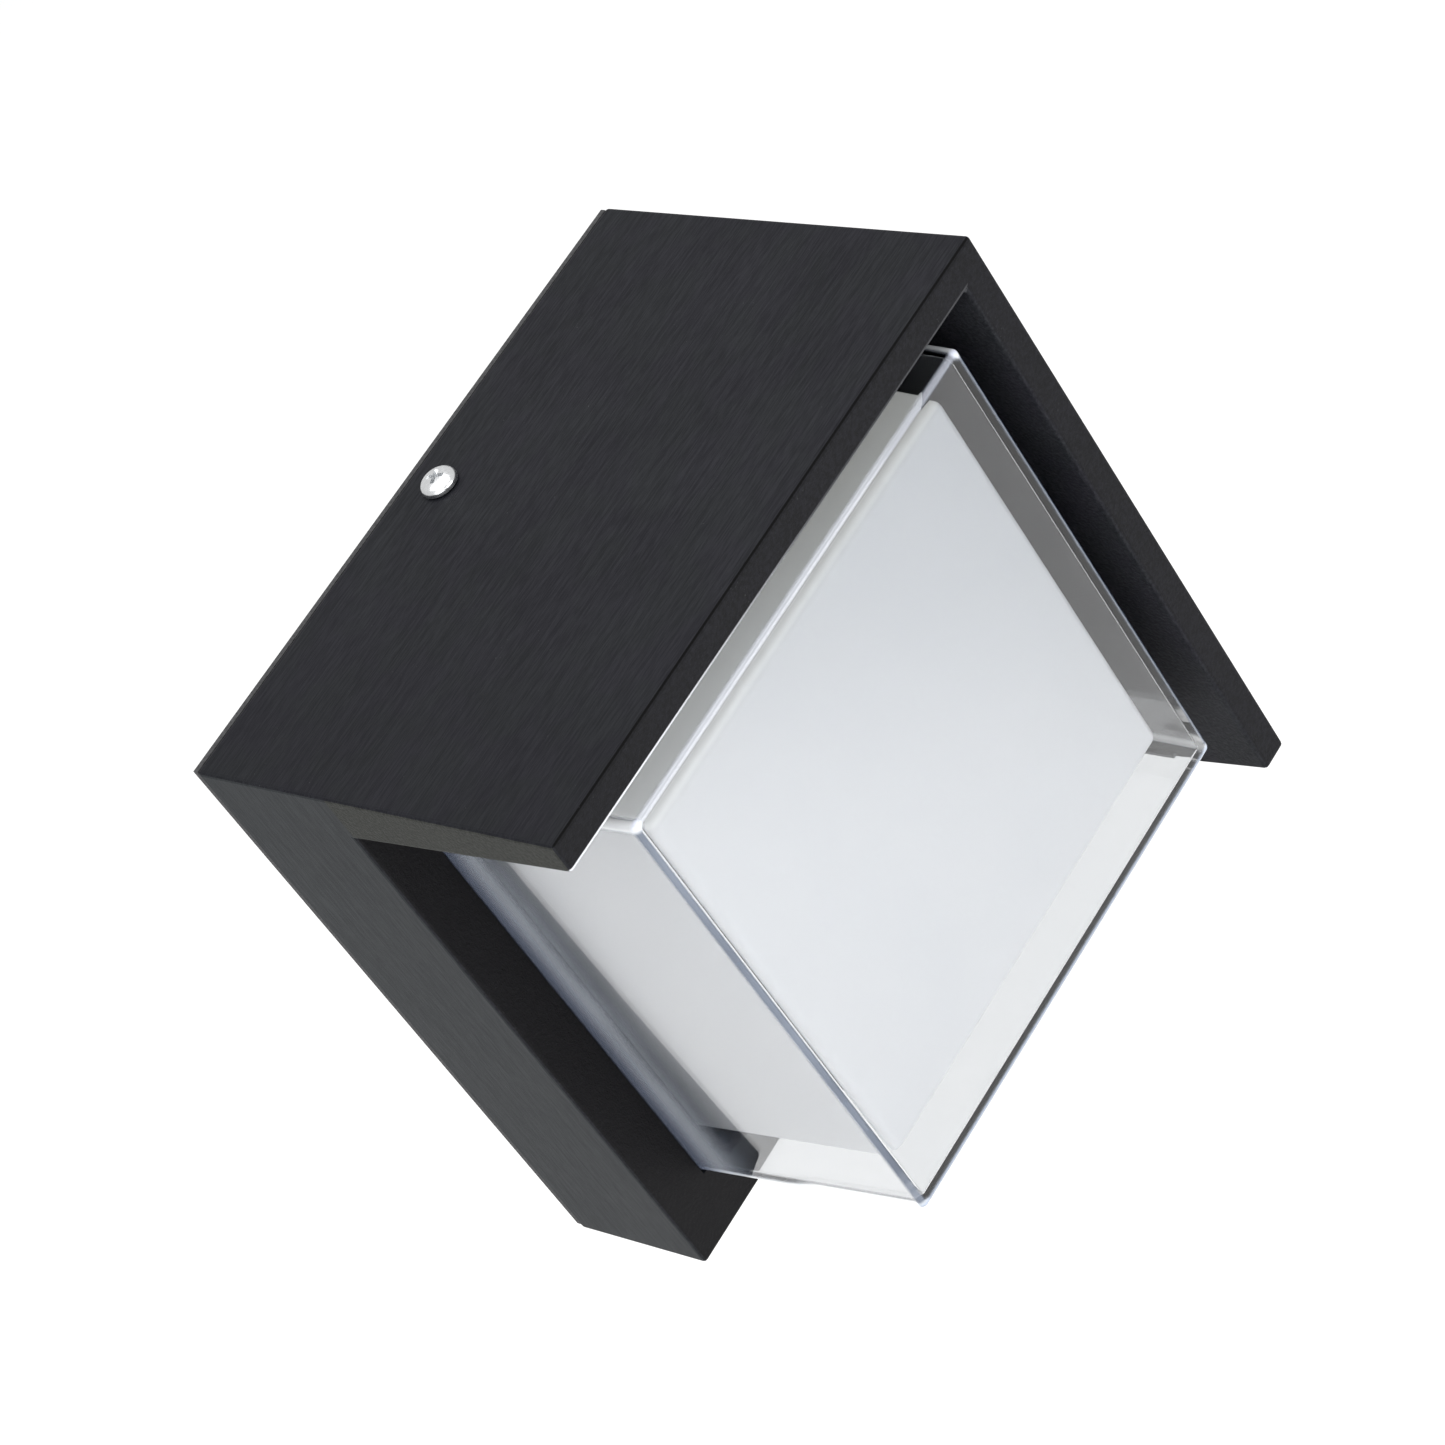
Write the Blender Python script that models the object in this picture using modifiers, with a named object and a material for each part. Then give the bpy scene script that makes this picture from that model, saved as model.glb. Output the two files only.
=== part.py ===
"""Square outdoor wall lantern: a cast housing with a top hood and one side cheek, round a clear
cover with an opal diffuser inside it.

Frame: metres, +Z up. The wall is the plane y = 0 and the lantern stands out towards -Y, with +X on
the right of someone who faces the wall. The origin is the middle of the wall bracket's back face.
"""
import math

import bmesh
import bpy
from mathutils import Matrix, Vector

MM = 0.001
GAP = 0.3 * MM

# Driving dimensions
WIDTH = 150.0 * MM
HEIGHT = 152.0 * MM
DEPTH = 97.0 * MM
BASE_DEPTH = 36.3 * MM
RIM_STANDOFF = 1.5 * MM
WALL = 3.5 * MM
FRONT_WALL = 5.3 * MM
PLATE_ROOT = (11.0 * MM, 12.0 * MM)
PLATE_TIP = (7.2 * MM, 7.5 * MM)
HOUSING_EDGE = 0.9 * MM

COVER_CENTRE_Z = 0.8 * MM
COVER_TIP_RISE = 0.9 * MM
COVER_ROOT = (62.4 * MM, 61.7 * MM)
COVER_TIP = (59.2 * MM, 60.0 * MM)
COVER_WALL = 2.0 * MM
COVER_EDGE = 1.2 * MM
COVER_SETBACK = 0.9 * MM
OPAL_ROOT = (55.2 * MM, 54.8 * MM)
OPAL_TIP = (53.6 * MM, 51.0 * MM)
OPAL_WALL = 1.8 * MM
OPAL_EDGE = 2.0 * MM
OPAL_GAP = 4.4 * MM
GROOVE_DEPTH = 3.0 * MM
GROOVE_PLAY = 0.3 * MM
SEAL_HEIGHT = 1.1 * MM

BRACKET_WIDTH = 30.0 * MM
BRACKET_SHEET = 1.5 * MM
BRACKET_TAB = 16.0 * MM
WALL_SLOT = (5.0 * MM, 18.0 * MM)
WALL_SLOT_PLACES = (24.0 * MM, 47.0 * MM)

SIDE_SCREW_Y = -11.2 * MM
SIDE_SCREW_LENGTH = 11.0 * MM
M4 = {"shank": 2.0 * MM, "head": 4.0 * MM, "height": 2.5 * MM, "dome": 5, "sides": 20}
M3 = {"shank": 1.5 * MM, "head": 2.8 * MM, "height": 1.9 * MM, "dome": 3, "sides": 12}
SCREW_PLAY = 0.35 * MM

BOARD_HALF = 45.0 * MM
BOARD_THICKNESS = 1.6 * MM
BOARD_SCREW_AT = 40.0 * MM
BOARD_SCREW_LENGTH = 4.6 * MM
LED_PITCH = 26.0 * MM
LED_SIZE = (5.0 * MM, 0.8 * MM, 5.0 * MM)
LEAD_HOLE = Vector((13.0 * MM, 0.0, 14.4 * MM))
LEAD_HOLE_RADIUS = 3.6 * MM

REAR_PLATE = 1.2 * MM
REAR_PLATE_Y = -16.5 * MM
REAR_SCREW_AT = (67.0 * MM, 68.0 * MM)
REAR_SCREW_LENGTH = 8.0 * MM
RIB_OUTER = (62.0 * MM, 63.0 * MM)
RIB_WALL = 2.5 * MM
BOSS_RADIUS = 5.4 * MM
REAR_SEAL = 1.2 * MM

DRIVER_LOW = Vector((-40.0 * MM, 0.0, -40.0 * MM))
DRIVER_SIZE = Vector((66.0 * MM, 10.5 * MM, 32.0 * MM))
DRIVER_EAR = Vector((6.0 * MM, 2.0 * MM, 10.0 * MM))
DRIVER_SCREW_LENGTH = 5.5 * MM
TERMINAL_LOW = Vector((-54.0 * MM, 0.0, 24.0 * MM))
TERMINAL_SIZE = Vector((26.0 * MM, 10.5 * MM, 13.0 * MM))
TERMINAL_POLES = (-49.0 * MM, -41.0 * MM, -33.0 * MM)
GROMMET_AT = Vector((-45.0 * MM, 0.0, 10.0 * MM))
GROMMET_NECK = 5.0 * MM
GROMMET_FLANGE = 6.6 * MM
GROMMET_BORE = 3.2 * MM
EARTH_AT = Vector((40.0 * MM, 0.0, 22.0 * MM))
EARTH_SCREW_LENGTH = 7.0 * MM
LEAD_RADIUS = 0.7 * MM
LEAD_SPACING = 1.3 * MM

RIM_Y = -RIM_STANDOFF
BASE_Y = RIM_Y - BASE_DEPTH
FRONT_Y = RIM_Y - DEPTH
FLOOR_Y = BASE_Y + FRONT_WALL
COVER_FRONT_Y = FRONT_Y + COVER_SETBACK
OPAL_FRONT_Y = COVER_FRONT_Y + COVER_WALL + OPAL_GAP
HOLLOW = (WIDTH / 2 - WALL, HEIGHT / 2 - WALL)
RIB_TOP_Y = REAR_PLATE_Y - REAR_PLATE - GAP - REAR_SEAL - GAP
BOARD_Y = BASE_Y - GAP
LED_Y = BOARD_Y - BOARD_THICKNESS - GAP

SIGNS = ((1, 1), (-1, 1), (-1, -1), (1, -1))

parts = bpy.data.collections.new("wall_lantern")
cutters = bpy.data.collections.new("cutters")


def clear_scene():
    for thing in list(bpy.data.objects):
        bpy.data.objects.remove(thing, do_unlink=True)
    for group in (parts, cutters):
        bpy.context.scene.collection.children.link(group)


def finish(name, colour, roughness, metallic=0.0, alpha=1.0):
    material = bpy.data.materials.new(name)
    material.use_nodes = True
    shader = material.node_tree.nodes["Principled BSDF"]
    shader.inputs["Base Color"].default_value = (*colour, 1.0)
    shader.inputs["Roughness"].default_value = roughness
    shader.inputs["Metallic"].default_value = metallic
    shader.inputs["Alpha"].default_value = alpha
    return material


def add_object(name, mesh, material=None):
    """A part when it has a material, otherwise a cutter that the build leaves out."""
    thing = bpy.data.objects.new(name, mesh)
    if material is None:
        cutters.objects.link(thing)
        thing.hide_render = True
        thing.display_type = "WIRE"
    else:
        parts.objects.link(thing)
        mesh.materials.append(material)
    return thing


def mesh_from(shape, name):
    mesh = bpy.data.meshes.new(name)
    shape.to_mesh(mesh)
    shape.free()
    return mesh


def box(name, low, high, material=None):
    low, high = Vector(low), Vector(high)
    shape = bmesh.new()
    size = high - low
    place = Matrix.Translation((low + high) / 2) @ Matrix.Diagonal((*size, 1.0))
    bmesh.ops.create_cube(shape, size=1.0, matrix=place)
    return add_object(name, mesh_from(shape, name), material)


def tapered_box(name, y_root, y_tip, root, tip, centre_z, material=None, tip_rise=0.0):
    """A box along Y whose half width and half height run from root to tip."""
    shape = bmesh.new()
    bmesh.ops.create_cube(shape, size=2.0)
    for corner in shape.verts:
        at_root = corner.co.y > 0
        half_x, half_z = root if at_root else tip
        corner.co.x *= half_x
        corner.co.z = corner.co.z * half_z + centre_z + (0.0 if at_root else tip_rise)
        corner.co.y = y_root if at_root else y_tip
    return add_object(name, mesh_from(shape, name), material)


def rod(name, radius, start, end, material=None, sides=24):
    """A cylinder from start to end."""
    start, end = Vector(start), Vector(end)
    along = end - start
    turn = along.to_track_quat("Z", "Y").to_matrix().to_4x4()
    place = Matrix.Translation((start + end) / 2) @ turn
    shape = bmesh.new()
    bmesh.ops.create_cone(
        shape, cap_ends=True, segments=sides, radius1=radius, radius2=radius,
        depth=along.length, matrix=place,
    )
    return add_object(name, mesh_from(shape, name), material)


def combine(target, other, operation):
    step = target.modifiers.new(operation.lower(), "BOOLEAN")
    step.operation = operation
    step.solver = "EXACT"
    step.object = other
    return target


def cut(target, *tools):
    for tool in tools:
        combine(target, tool, "DIFFERENCE")
    return target


def join(target, *pieces):
    for piece in pieces:
        combine(target, piece, "UNION")
    return target


def bevel(thing, width, segments=2):
    step = thing.modifiers.new("edges", "BEVEL")
    step.width = width
    step.segments = segments
    step.limit_method = "ANGLE"
    step.angle_limit = math.radians(35)
    return thing


def ring(name, outer, inner, y_low, y_high, centre_z, material=None):
    """A rectangular ring in the wall's plane."""
    frame = tapered_box(name, y_high, y_low, outer, outer, centre_z, material)
    reach = GAP + (y_high - y_low)
    hole = tapered_box(name + "_hole", y_high + reach, y_low - reach, inner, inner, centre_z)
    return cut(frame, hole)


def screw(name, size, length, seat, out, material):
    """A pan-head screw with a crossed recess; seat is under its head and out is the way it leaves."""
    shank, head, height = size["shank"], size["head"], size["height"]
    dome = size["dome"]
    profile = []
    for step in range(dome + 1):
        angle = math.radians(90) * step / dome
        profile.append((head * math.sin(angle) ** 0.6, height * (0.35 + 0.65 * math.cos(angle))))
    profile[0] = (0.0, height)
    profile += [(head, 0.0), (shank, 0.0), (shank, shank / 2 - length), (shank / 2, -length)]
    profile.append((0.0, -length))
    shape = bmesh.new()
    points = [shape.verts.new((x, 0.0, z)) for x, z in profile]
    for first, second in zip(points, points[1:]):
        shape.edges.new((first, second))
    thing = add_object(name, mesh_from(shape, name), material)
    turned = thing.modifiers.new("turned", "SCREW")
    turned.steps = size["sides"]
    turned.render_steps = size["sides"]
    turned.use_merge_vertices = True
    turned.merge_threshold = 0.00001
    thing.location = Vector(seat)
    thing.rotation_mode = "QUATERNION"
    thing.rotation_quaternion = Vector(out).to_track_quat("Z", "Y")
    for turn in (0, 90):
        half = Vector((head * 0.5, head * 0.09, height * 0.3))
        slot = box(f"{name}_recess_{turn}", -half, half)
        slot.location = Vector(seat) + Vector(out) * (height * 0.9)
        slot.rotation_mode = "QUATERNION"
        spin = Matrix.Rotation(math.radians(turn + 25), 4, "Z").to_quaternion()
        slot.rotation_quaternion = thing.rotation_quaternion @ spin
        cut(thing, slot)
    return thing


def lead(name, route, material):
    """A wire on a smooth curve through the points of its route."""
    points = [Vector(route[0])] + [Vector(p) for p in route] + [Vector(route[-1])]
    path = []
    per_span = 5
    for a, b, c, d in zip(points, points[1:], points[2:], points[3:]):
        for step in range(per_span):
            t = step / per_span
            path.append(0.5 * (2 * b + (c - a) * t + (2 * a - 5 * b + 4 * c - d) * t ** 2
                               + (3 * b - a - 3 * c + d) * t ** 3))
    path.append(points[-1])
    curve = bpy.data.curves.new(name, "CURVE")
    curve.dimensions = "3D"
    curve.bevel_depth = LEAD_RADIUS
    curve.bevel_resolution = 2
    curve.use_fill_caps = True
    line = curve.splines.new("POLY")
    line.points.add(len(path) - 1)
    for point, place in zip(line.points, path):
        point.co = (*place, 1.0)
    thing = bpy.data.objects.new(name, curve)
    curve.materials.append(material)
    parts.objects.link(thing)
    return thing


def make_housing(material):
    """One casting: base box, hood along the top and cheek down the right side."""
    low, high = (-WIDTH / 2, FRONT_Y, -HEIGHT / 2), (WIDTH / 2, RIM_Y, HEIGHT / 2)
    housing = box("housing", low, high, material)
    past = 20 * MM
    reach = (DEPTH - BASE_DEPTH + past) / (DEPTH - BASE_DEPTH)
    root = (WIDTH / 2 - PLATE_ROOT[0], HEIGHT / 2 - PLATE_ROOT[1])
    tip = tuple(edge + (thick - thin) * reach for edge, thick, thin in zip(root, PLATE_ROOT, PLATE_TIP))
    bay = tapered_box("lamp_bay", BASE_Y, FRONT_Y - past, root, tip, 0.0)
    for corner in bay.data.vertices:
        if corner.co.x < 0:
            corner.co.x = -WIDTH
        if corner.co.z < 0:
            corner.co.z = -HEIGHT
    cut(housing, bay)
    bevel(housing, HOUSING_EDGE, 3)
    hollow_low = (-HOLLOW[0], FLOOR_Y, -HOLLOW[1])
    hollow_high = (HOLLOW[0], RIM_Y + past, HOLLOW[1])
    cut(housing, box("rear_hollow", hollow_low, hollow_high))
    add_rear_ribs(housing)
    cut_front_grooves(housing)
    cut_housing_holes(housing)
    return housing


def add_rear_ribs(housing):
    bite = 0.5 * MM
    inner = tuple(edge - RIB_WALL for edge in RIB_OUTER)
    join(housing, ring("seal_rib", RIB_OUTER, inner, FLOOR_Y - bite, RIB_TOP_Y, 0.0))
    top = REAR_PLATE_Y - REAR_PLATE - GAP
    for number, (side, level) in enumerate(SIGNS, 1):
        x, z = side * REAR_SCREW_AT[0], level * REAR_SCREW_AT[1]
        join(housing, rod(f"rear_boss_{number}", BOSS_RADIUS, (x, FLOOR_Y - bite, z), (x, top, z)))
        start, end = (x, top - REAR_SCREW_LENGTH, z), (x, top + bite, z)
        cut(housing, rod(f"rear_boss_{number}_hole", M3["shank"] + SCREW_PLAY, start, end, sides=16))
    for number, (x, z) in enumerate(driver_screw_places(), 1):
        seat = FLOOR_Y + 2 * MM
        join(housing, rod(f"driver_pad_{number}", 4 * MM, (x, FLOOR_Y - bite, z), (x, seat, z)))
        start, end = (x, FLOOR_Y - 2 * MM, z), (x, seat + bite, z)
        cut(housing, rod(f"driver_pad_{number}_hole", M3["shank"] + SCREW_PLAY, start, end, sides=16))
    x, z = EARTH_AT.x, EARTH_AT.z
    join(housing, rod("earth_boss", BOSS_RADIUS, (x, FLOOR_Y - bite, z), (x, top, z)))
    radius = M4["shank"] + SCREW_PLAY
    deep = top - EARTH_SCREW_LENGTH
    cut(housing, rod("earth_boss_hole", radius, (x, deep, z), (x, top + bite, z), sides=16))


def groove_ring(name, outer, wall, material=None, play=0.0, y_low=0.0, y_high=0.0):
    wide = tuple(edge + play for edge in outer)
    narrow = tuple(edge - wall - play for edge in outer)
    return ring(name, wide, narrow, y_low, y_high, COVER_CENTRE_Z, material)


def cut_front_grooves(housing):
    deep = BASE_Y + GROOVE_DEPTH
    outside = BASE_Y - 1 * MM
    cups = (("cover_groove", COVER_ROOT, COVER_WALL), ("opal_groove", OPAL_ROOT, OPAL_WALL))
    for name, outer, wall in cups:
        cut(housing, groove_ring(name, outer, wall, play=GROOVE_PLAY, y_low=outside, y_high=deep))


def cut_housing_holes(housing):
    radius = M4["shank"] + SCREW_PLAY
    for name, level in (("upper", 1), ("lower", -1)):
        near = (0, SIDE_SCREW_Y, level * (HOLLOW[1] - 2 * MM))
        far = (0, SIDE_SCREW_Y, level * (HEIGHT / 2 + 2 * MM))
        cut(housing, rod(f"{name}_side_hole", radius, near, far, sides=20))
    x, z = LEAD_HOLE.x, LEAD_HOLE.z
    cut(housing, rod("lead_hole", LEAD_HOLE_RADIUS, (x, BASE_Y - 2 * MM, z), (x, FLOOR_Y + 2 * MM, z)))
    radius = M3["shank"] + SCREW_PLAY
    for number, (x, z) in enumerate(board_screw_places(), 1):
        start, end = (x, BASE_Y - 1 * MM, z), (x, BASE_Y + 4 * MM, z)
        cut(housing, rod(f"board_hole_{number}", radius, start, end, sides=16))


def board_screw_places():
    return [(side * BOARD_SCREW_AT, COVER_CENTRE_Z + level * BOARD_SCREW_AT) for side, level in SIGNS]


def driver_screw_places():
    z = DRIVER_LOW.z + DRIVER_SIZE.z / 2
    return [(DRIVER_LOW.x - DRIVER_EAR.x / 2, z), (DRIVER_LOW.x + DRIVER_SIZE.x + DRIVER_EAR.x / 2, z)]


def make_cup(name, root, tip, wall, edge, front_y, material):
    """A drafted box open towards the wall; its rim stands in the housing's groove."""
    rim_y = BASE_Y + GROOVE_DEPTH - GAP - SEAL_HEIGHT - GAP
    slopes = [(a - b) / (BASE_Y - front_y) for a, b in zip(root, tip)]
    past = rim_y - BASE_Y + 2 * edge
    back = tuple(a + s * past for a, s in zip(root, slopes))
    rise = COVER_TIP_RISE
    shell = tapered_box(name, BASE_Y + past, front_y, back, tip, COVER_CENTRE_Z, material, rise)
    bevel(shell, edge, 3)
    inner_back = tuple(a - wall for a in back)
    inner_tip = tuple(b - wall + s * wall for b, s in zip(tip, slopes))
    inside_y = BASE_Y + past + MM
    cut(shell, tapered_box(
        name + "_inside", inside_y, front_y + wall, inner_back, inner_tip, COVER_CENTRE_Z, tip_rise=rise,
    ))
    wide = tuple(2 * a for a in root)
    cut(shell, tapered_box(name + "_trim", inside_y, rim_y, wide, wide, COVER_CENTRE_Z))
    return shell


def make_light_parts(clear, opal, silicone, board_white, solder, steel):
    make_cup("clear_cover", COVER_ROOT, COVER_TIP, COVER_WALL, COVER_EDGE, COVER_FRONT_Y, clear)
    make_cup("opal_diffuser", OPAL_ROOT, OPAL_TIP, OPAL_WALL, OPAL_EDGE, OPAL_FRONT_Y, opal)
    high = BASE_Y + GROOVE_DEPTH - GAP
    low = high - SEAL_HEIGHT
    groove_ring("cover_seal", COVER_ROOT, COVER_WALL, silicone, y_low=low, y_high=high)
    groove_ring("diffuser_seal", OPAL_ROOT, OPAL_WALL, silicone, y_low=low, y_high=high)
    make_board(board_white, steel)
    for row in range(3):
        for column in range(3):
            make_led(row, column, solder)


def make_board(white, steel):
    back, front = BOARD_Y, BOARD_Y - BOARD_THICKNESS
    low = (-BOARD_HALF, front, COVER_CENTRE_Z - BOARD_HALF)
    high = (BOARD_HALF, back, COVER_CENTRE_Z + BOARD_HALF)
    board = box("led_board", low, high, white)
    radius = M3["shank"] + SCREW_PLAY
    for number, (x, z) in enumerate(board_screw_places(), 1):
        tool = rod(f"led_board_hole_{number}", radius, (x, front - MM, z), (x, back + MM, z), sides=16)
        cut(board, tool)
        seat = (x, front - GAP, z)
        screw(f"led_board_screw_{number}", M3, BOARD_SCREW_LENGTH, seat, (0, -1, 0), steel)
    x, z = LEAD_HOLE.x, LEAD_HOLE.z
    cut(board, rod("led_board_lead_hole", LEAD_HOLE_RADIUS, (x, front - MM, z), (x, back + MM, z)))


def make_led(row, column, yellow):
    x, z = (column - 1) * LED_PITCH, COVER_CENTRE_Z + (1 - row) * LED_PITCH
    centre = Vector((x, LED_Y - LED_SIZE[1] / 2, z))
    half = Vector(LED_SIZE) / 2
    chip = box(f"led_{row * 3 + column + 1}", centre - half, centre + half, yellow)
    bevel(chip, 0.2 * MM, 1)


def make_bracket(steel):
    """A U of sheet steel: the strap lies on the wall and its two tabs take the side screws."""
    reach = HOLLOW[1] - 0.45 * MM
    half = BRACKET_WIDTH / 2
    bracket = box("wall_bracket", (-half, -BRACKET_TAB, -reach), (half, 0, reach), steel)
    inner = reach - BRACKET_SHEET
    cut(bracket, box("bracket_inside", (-WIDTH, -WIDTH, -inner), (WIDTH, -BRACKET_SHEET, inner)))
    bevel(bracket, 0.3 * MM, 1)
    radius = M4["shank"] + SCREW_PLAY
    bottom, top = (0, SIDE_SCREW_Y, -HEIGHT), (0, SIDE_SCREW_Y, HEIGHT)
    cut(bracket, rod("bracket_tab_holes", radius, bottom, top, sides=20))
    narrow, long = WALL_SLOT[0] / 2, WALL_SLOT[1] / 2
    across, along = WALL_SLOT_PLACES
    for level in (1, -1):
        shapes = (("level", level * across, (long, narrow)), ("upright", level * along, (narrow, long)))
        for name, z, size in shapes:
            low = (-size[0], -4 * BRACKET_SHEET, z - size[1])
            high = (size[0], 4 * BRACKET_SHEET, z + size[1])
            slot = box(f"{name}_slot_{level}", low, high)
            bevel(slot, 0.96 * narrow, 3)
            cut(bracket, slot)
    return bracket


def make_rear_parts(plate_metal, silicone, rubber, foam, steel, nylon):
    half = (HOLLOW[0] - MM, HOLLOW[1] - MM)
    plate_front = REAR_PLATE_Y - REAR_PLATE
    plate = tapered_box("rear_cover", REAR_PLATE_Y, plate_front, half, half, 0.0, plate_metal)
    radius = M3["shank"] + SCREW_PLAY
    for number, (side, level) in enumerate(SIGNS, 1):
        x, z = side * REAR_SCREW_AT[0], level * REAR_SCREW_AT[1]
        start, end = (x, plate_front - MM, z), (x, REAR_PLATE_Y + MM, z)
        cut(plate, rod(f"rear_cover_hole_{number}", radius, start, end, sides=16))
        seat = (x, REAR_PLATE_Y + GAP, z)
        screw(f"rear_cover_screw_{number}", M3, REAR_SCREW_LENGTH, seat, (0, 1, 0), steel)
    ways = (("grommet", GROMMET_AT, GROMMET_NECK + GAP), ("earth", EARTH_AT, M4["shank"] + SCREW_PLAY))
    for name, place, radius in ways:
        start, end = (place.x, plate_front - MM, place.z), (place.x, REAR_PLATE_Y + MM, place.z)
        cut(plate, rod(f"rear_cover_{name}_hole", radius, start, end))
    inner = tuple(edge - RIB_WALL for edge in RIB_OUTER)
    ring("rear_seal", RIB_OUTER, inner, RIB_TOP_Y + GAP, RIB_TOP_Y + GAP + REAR_SEAL, 0.0, silicone)
    outer = (WIDTH / 2 - 0.5 * MM, HEIGHT / 2 - 0.5 * MM)
    inner = tuple(edge - 2.6 * MM for edge in outer)
    ring("wall_gasket", outer, inner, RIM_Y + GAP, 0.0, 0.0, foam)
    make_grommet(rubber)
    make_earth(steel, plate_metal)
    low = Vector((TERMINAL_LOW.x, REAR_PLATE_Y + GAP, TERMINAL_LOW.z))
    block = box("terminal_block", low, low + TERMINAL_SIZE, nylon)
    bevel(block, 0.5 * MM, 1)
    for number, x in enumerate(TERMINAL_POLES, 1):
        middle = low.y + TERMINAL_SIZE.y / 2
        z = low.z + TERMINAL_SIZE.z
        start, end = (x, middle, low.z - MM), (x, middle, z + MM)
        cut(block, rod(f"wire_way_{number}", 1.9 * MM, start, end, sides=16))


def make_grommet(rubber):
    """A rubber bush with a flange on each side of the rear cover."""
    flange = 1.4 * MM
    half = REAR_PLATE / 2 + GAP
    profile = [
        (GROMMET_BORE, half + flange), (GROMMET_FLANGE - 0.5 * MM, half + flange),
        (GROMMET_FLANGE, half + flange / 2), (GROMMET_FLANGE, half), (GROMMET_NECK, half),
        (GROMMET_NECK, -half), (GROMMET_FLANGE, -half), (GROMMET_FLANGE, -half - flange / 2),
        (GROMMET_FLANGE - 0.5 * MM, -half - flange), (GROMMET_BORE, -half - flange),
    ]
    shape = bmesh.new()
    points = [shape.verts.new((x, 0.0, z)) for x, z in profile]
    for first, second in zip(points, points[1:] + points[:1]):
        shape.edges.new((first, second))
    bush = add_object("lead_grommet", mesh_from(shape, "lead_grommet"), rubber)
    turned = bush.modifiers.new("turned", "SCREW")
    turned.steps = 24
    turned.render_steps = 24
    turned.use_merge_vertices = True
    turned.merge_threshold = 0.00001
    bush.location = (GROMMET_AT.x, REAR_PLATE_Y - REAR_PLATE / 2, GROMMET_AT.z)
    bush.rotation_euler = (math.radians(-90), 0, 0)


def make_earth(steel, tinned):
    y = REAR_PLATE_Y + GAP
    thick = 0.8 * MM
    x, z = EARTH_AT.x, EARTH_AT.z
    tag = rod("earth_tag", 4.2 * MM, (x, y, z), (x, y + thick, z), tinned)
    tongue = box("earth_tongue", (x - 11 * MM, y, z - 2 * MM), (x - 3 * MM, y + thick, z + 2 * MM))
    join(tag, tongue)
    cut(tag, rod("earth_tag_hole", M4["shank"] + SCREW_PLAY, (x, y - MM, z), (x, y + 2 * MM, z)))
    screw("earth_screw", M4, EARTH_SCREW_LENGTH, (x, y + thick + GAP, z), (0, 1, 0), steel)


def make_driver(black, steel):
    """The potted driver stands on two pads of the housing, by an ear at each end."""
    low = Vector((DRIVER_LOW.x, FLOOR_Y + 2 * MM + GAP, DRIVER_LOW.z))
    body = box("led_driver", low, low + DRIVER_SIZE, black)
    bevel(body, 0.8 * MM, 2)
    middle = low.z + DRIVER_SIZE.z / 2
    for number, (x, z) in enumerate(driver_screw_places(), 1):
        bite = 1 * MM if number == 1 else -1 * MM
        half = DRIVER_EAR / 2
        ear_low = Vector((x - half.x + min(bite, 0), low.y, middle - half.z))
        ear_high = Vector((x + half.x + max(bite, 0), low.y + DRIVER_EAR.y, middle + half.z))
        join(body, box(f"driver_ear_{number}", ear_low, ear_high))
        start, end = (x, low.y - MM, z), (x, low.y + 4 * MM, z)
        cut(body, rod(f"driver_ear_{number}_hole", M3["shank"] + SCREW_PLAY, start, end, sides=16))
        seat = (x, low.y + DRIVER_EAR.y + GAP, z)
        screw(f"driver_screw_{number}", M3, DRIVER_SCREW_LENGTH, seat, (0, 1, 0), steel)


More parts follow.
